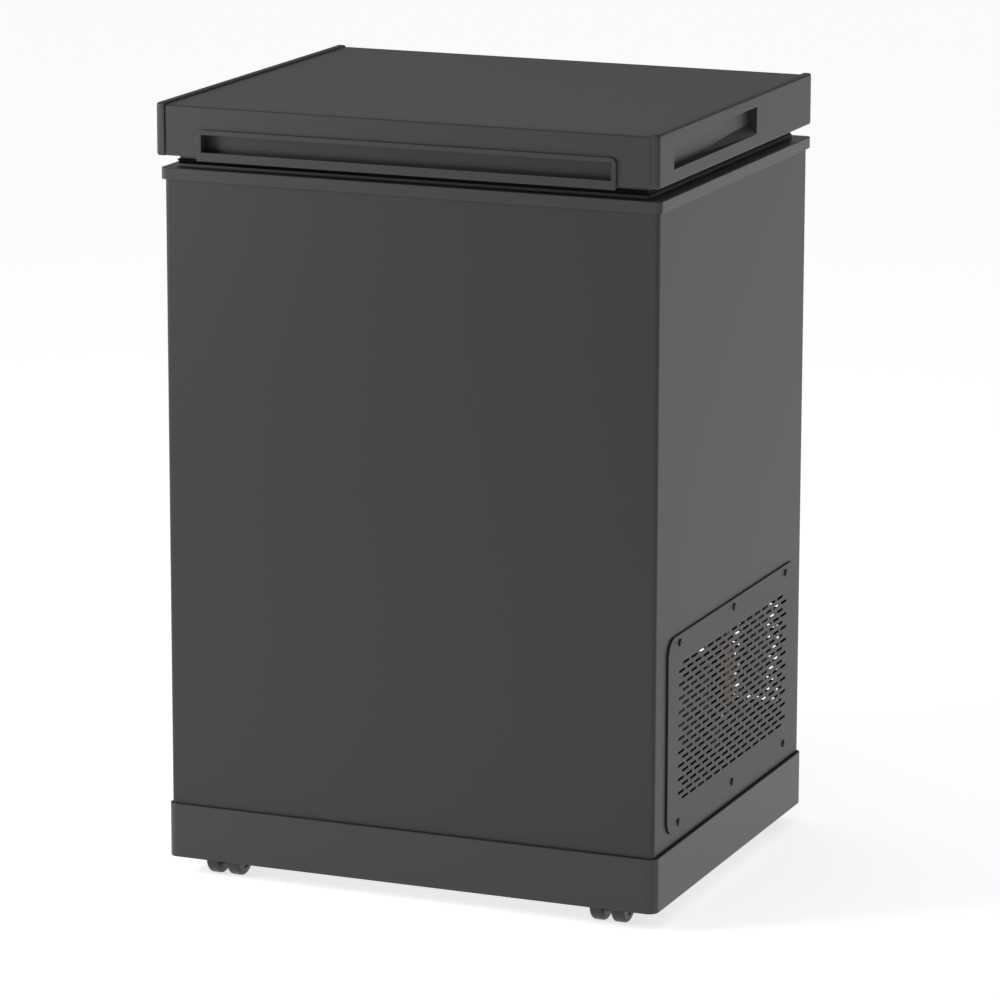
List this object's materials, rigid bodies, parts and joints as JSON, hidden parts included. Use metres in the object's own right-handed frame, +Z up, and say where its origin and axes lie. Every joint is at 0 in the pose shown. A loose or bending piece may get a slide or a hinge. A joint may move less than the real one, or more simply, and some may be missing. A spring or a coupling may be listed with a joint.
{
  "type": "chest freezer",
  "caption": "Counter-height chest freezer on castors: foamed steel cabinet with a pierced vent grille, hinged flat lid with front pull and side grips, aluminium tub and compressor bay.",
  "frame": {"origin": "on the floor, under the middle of the overall box", "axes": "+Z up, the front with the pull faces -Y, the vent grille faces +X"},
  "size_m": [0.56, 0.496, 0.84],
  "materials": {
    "basket_plastic": "moulded off-white",
    "black_rubber": "matte",
    "black_screw": "black oxide",
    "castor_nylon": "black nylon",
    "compressor_paint": "black enamel",
    "copper": "drawn tube, slightly dulled",
    "dial_plastic": "moulded charcoal",
    "foam": "rigid polyurethane foam",
    "galvanised_steel": "galvanised",
    "gasket_rubber": "soft black vinyl",
    "grey_plastic": "moulded grey",
    "grille_steel": "satin charcoal powder coat",
    "hinge_steel": "black e-coat",
    "lid_steel": "satin charcoal sheet, faintly cool",
    "liner_plastic": "vacuum-formed white",
    "painted_steel": "satin charcoal powder coat",
    "rail_plastic": "fine-grained moulded, warm charcoal",
    "spring_steel": "oiled spring wire",
    "trim_plastic": "satin moulded, charcoal",
    "tub_aluminium": "stucco-embossed, clear",
    "wheel_nylon": "black nylon, satin tread",
    "zinc_steel": "zinc plated"
  },
  "bodies": {
    "root": {"base_pan": "galvanised_steel", "base_rails": "galvanised_steel", "bay_brackets": "galvanised_steel", "cabinet_foam": "foam", "cabinet_screws": "black_screw", "cable_gland": "trim_plastic", "castor_bolts": "zinc_steel", "castor_plates": "zinc_steel", "compressor": "compressor_paint", "compressor_bolts": "zinc_steel", "compressor_feet": "black_rubber", "condenser_tube": "copper", "drain_tube": "grey_plastic", "evaporator_tube": "copper", "filter_drier": "copper", "hinge_base_screws": "black_screw", "hinge_bases": "hinge_steel", "hinge_covers": "trim_plastic", "hinge_pins": "zinc_steel", "hinge_springs": "spring_steel", "inner_tub": "tub_aluminium", "outer_cabinet": "painted_steel", "plinth": "trim_plastic", "rear_panel": "painted_steel", "refrigerant_tubes": "copper", "relay_box": "grey_plastic", "run_capacitor": "grey_plastic", "thermostat_body": "trim_plastic", "top_collar": "trim_plastic", "vent_grille": "grille_steel"},
    "lid": {"hinge_arm_screws": "black_screw", "hinge_arms": "hinge_steel", "lid_foam": "foam", "lid_front_trim": "trim_plastic", "lid_gasket": "gasket_rubber", "lid_liner": "liner_plastic", "lid_pull": "trim_plastic", "lid_rail_left": "rail_plastic", "lid_rail_right": "rail_plastic", "lid_rear_trim": "trim_plastic", "lid_top_panel": "lid_steel"},
    "basket": {"basket": "basket_plastic"},
    "drain_plug": {"drain_plug": "grey_plastic"},
    "thermostat_dial": {"thermostat_dial": "dial_plastic"},
    "swivel_front_left": {"castor_housing_front_left": "castor_nylon", "castor_axle_front_left": "zinc_steel"},
    "wheel_front_left_left": {"castor_wheel_front_left_left": "wheel_nylon"},
    "wheel_front_left_right": {"castor_wheel_front_left_right": "wheel_nylon"},
    "swivel_front_right": {"castor_housing_front_right": "castor_nylon", "castor_axle_front_right": "zinc_steel"},
    "wheel_front_right_left": {"castor_wheel_front_right_left": "wheel_nylon"},
    "wheel_front_right_right": {"castor_wheel_front_right_right": "wheel_nylon"},
    "swivel_rear_left": {"castor_housing_rear_left": "castor_nylon", "castor_axle_rear_left": "zinc_steel"},
    "wheel_rear_left_left": {"castor_wheel_rear_left_left": "wheel_nylon"},
    "wheel_rear_left_right": {"castor_wheel_rear_left_right": "wheel_nylon"},
    "swivel_rear_right": {"castor_housing_rear_right": "castor_nylon", "castor_axle_rear_right": "zinc_steel"},
    "wheel_rear_right_left": {"castor_wheel_rear_right_left": "wheel_nylon"},
    "wheel_rear_right_right": {"castor_wheel_rear_right_right": "wheel_nylon"}
  },
  "joints": [
    {"name": "lid_hinge", "type": "hinge", "parent": "root", "child": "lid", "pos_m": [0, 0.236, 0.7575], "axis": [-1, 0, 0], "range_deg": [0, 80]},
    {"name": "basket_slide", "type": "slide", "parent": "root", "child": "basket", "axis": [-1, 0, 0], "range_m": [0, 0.23]},
    {"name": "drain_plug_pull", "type": "slide", "parent": "root", "child": "drain_plug", "axis": [0, 0, 1], "range_m": [0, 0.03]},
    {"name": "thermostat_turn", "type": "hinge", "parent": "root", "child": "thermostat_dial", "pos_m": [0.1243, 0.2203, 0.294], "axis": [0, 1, 0], "range_deg": [0, 300]},
    {"name": "swivel_front_left", "type": "hinge", "parent": "root", "child": "swivel_front_left", "pos_m": [-0.221, -0.193, 0.05], "axis": [0, 0, 1], "continuous": true},
    {"name": "wheel_front_left_left", "type": "hinge", "parent": "swivel_front_left", "child": "wheel_front_left_left", "pos_m": [-0.233, -0.209, 0.02], "axis": [1, 0, 0], "continuous": true},
    {"name": "wheel_front_left_right", "type": "hinge", "parent": "swivel_front_left", "child": "wheel_front_left_right", "pos_m": [-0.209, -0.209, 0.02], "axis": [1, 0, 0], "continuous": true},
    {"name": "swivel_front_right", "type": "hinge", "parent": "root", "child": "swivel_front_right", "pos_m": [0.221, -0.193, 0.05], "axis": [0, 0, 1], "continuous": true},
    {"name": "wheel_front_right_left", "type": "hinge", "parent": "swivel_front_right", "child": "wheel_front_right_left", "pos_m": [0.209, -0.209, 0.02], "axis": [1, 0, 0], "continuous": true},
    {"name": "wheel_front_right_right", "type": "hinge", "parent": "swivel_front_right", "child": "wheel_front_right_right", "pos_m": [0.233, -0.209, 0.02], "axis": [1, 0, 0], "continuous": true},
    {"name": "swivel_rear_left", "type": "hinge", "parent": "root", "child": "swivel_rear_left", "pos_m": [-0.221, 0.177, 0.05], "axis": [0, 0, 1], "continuous": true},
    {"name": "wheel_rear_left_left", "type": "hinge", "parent": "swivel_rear_left", "child": "wheel_rear_left_left", "pos_m": [-0.233, 0.161, 0.02], "axis": [1, 0, 0], "continuous": true},
    {"name": "wheel_rear_left_right", "type": "hinge", "parent": "swivel_rear_left", "child": "wheel_rear_left_right", "pos_m": [-0.209, 0.161, 0.02], "axis": [1, 0, 0], "continuous": true},
    {"name": "swivel_rear_right", "type": "hinge", "parent": "root", "child": "swivel_rear_right", "pos_m": [0.221, 0.177, 0.05], "axis": [0, 0, 1], "continuous": true},
    {"name": "wheel_rear_right_left", "type": "hinge", "parent": "swivel_rear_right", "child": "wheel_rear_right_left", "pos_m": [0.209, 0.161, 0.02], "axis": [1, 0, 0], "continuous": true},
    {"name": "wheel_rear_right_right", "type": "hinge", "parent": "swivel_rear_right", "child": "wheel_rear_right_right", "pos_m": [0.233, 0.161, 0.02], "axis": [1, 0, 0], "continuous": true}
  ]
}
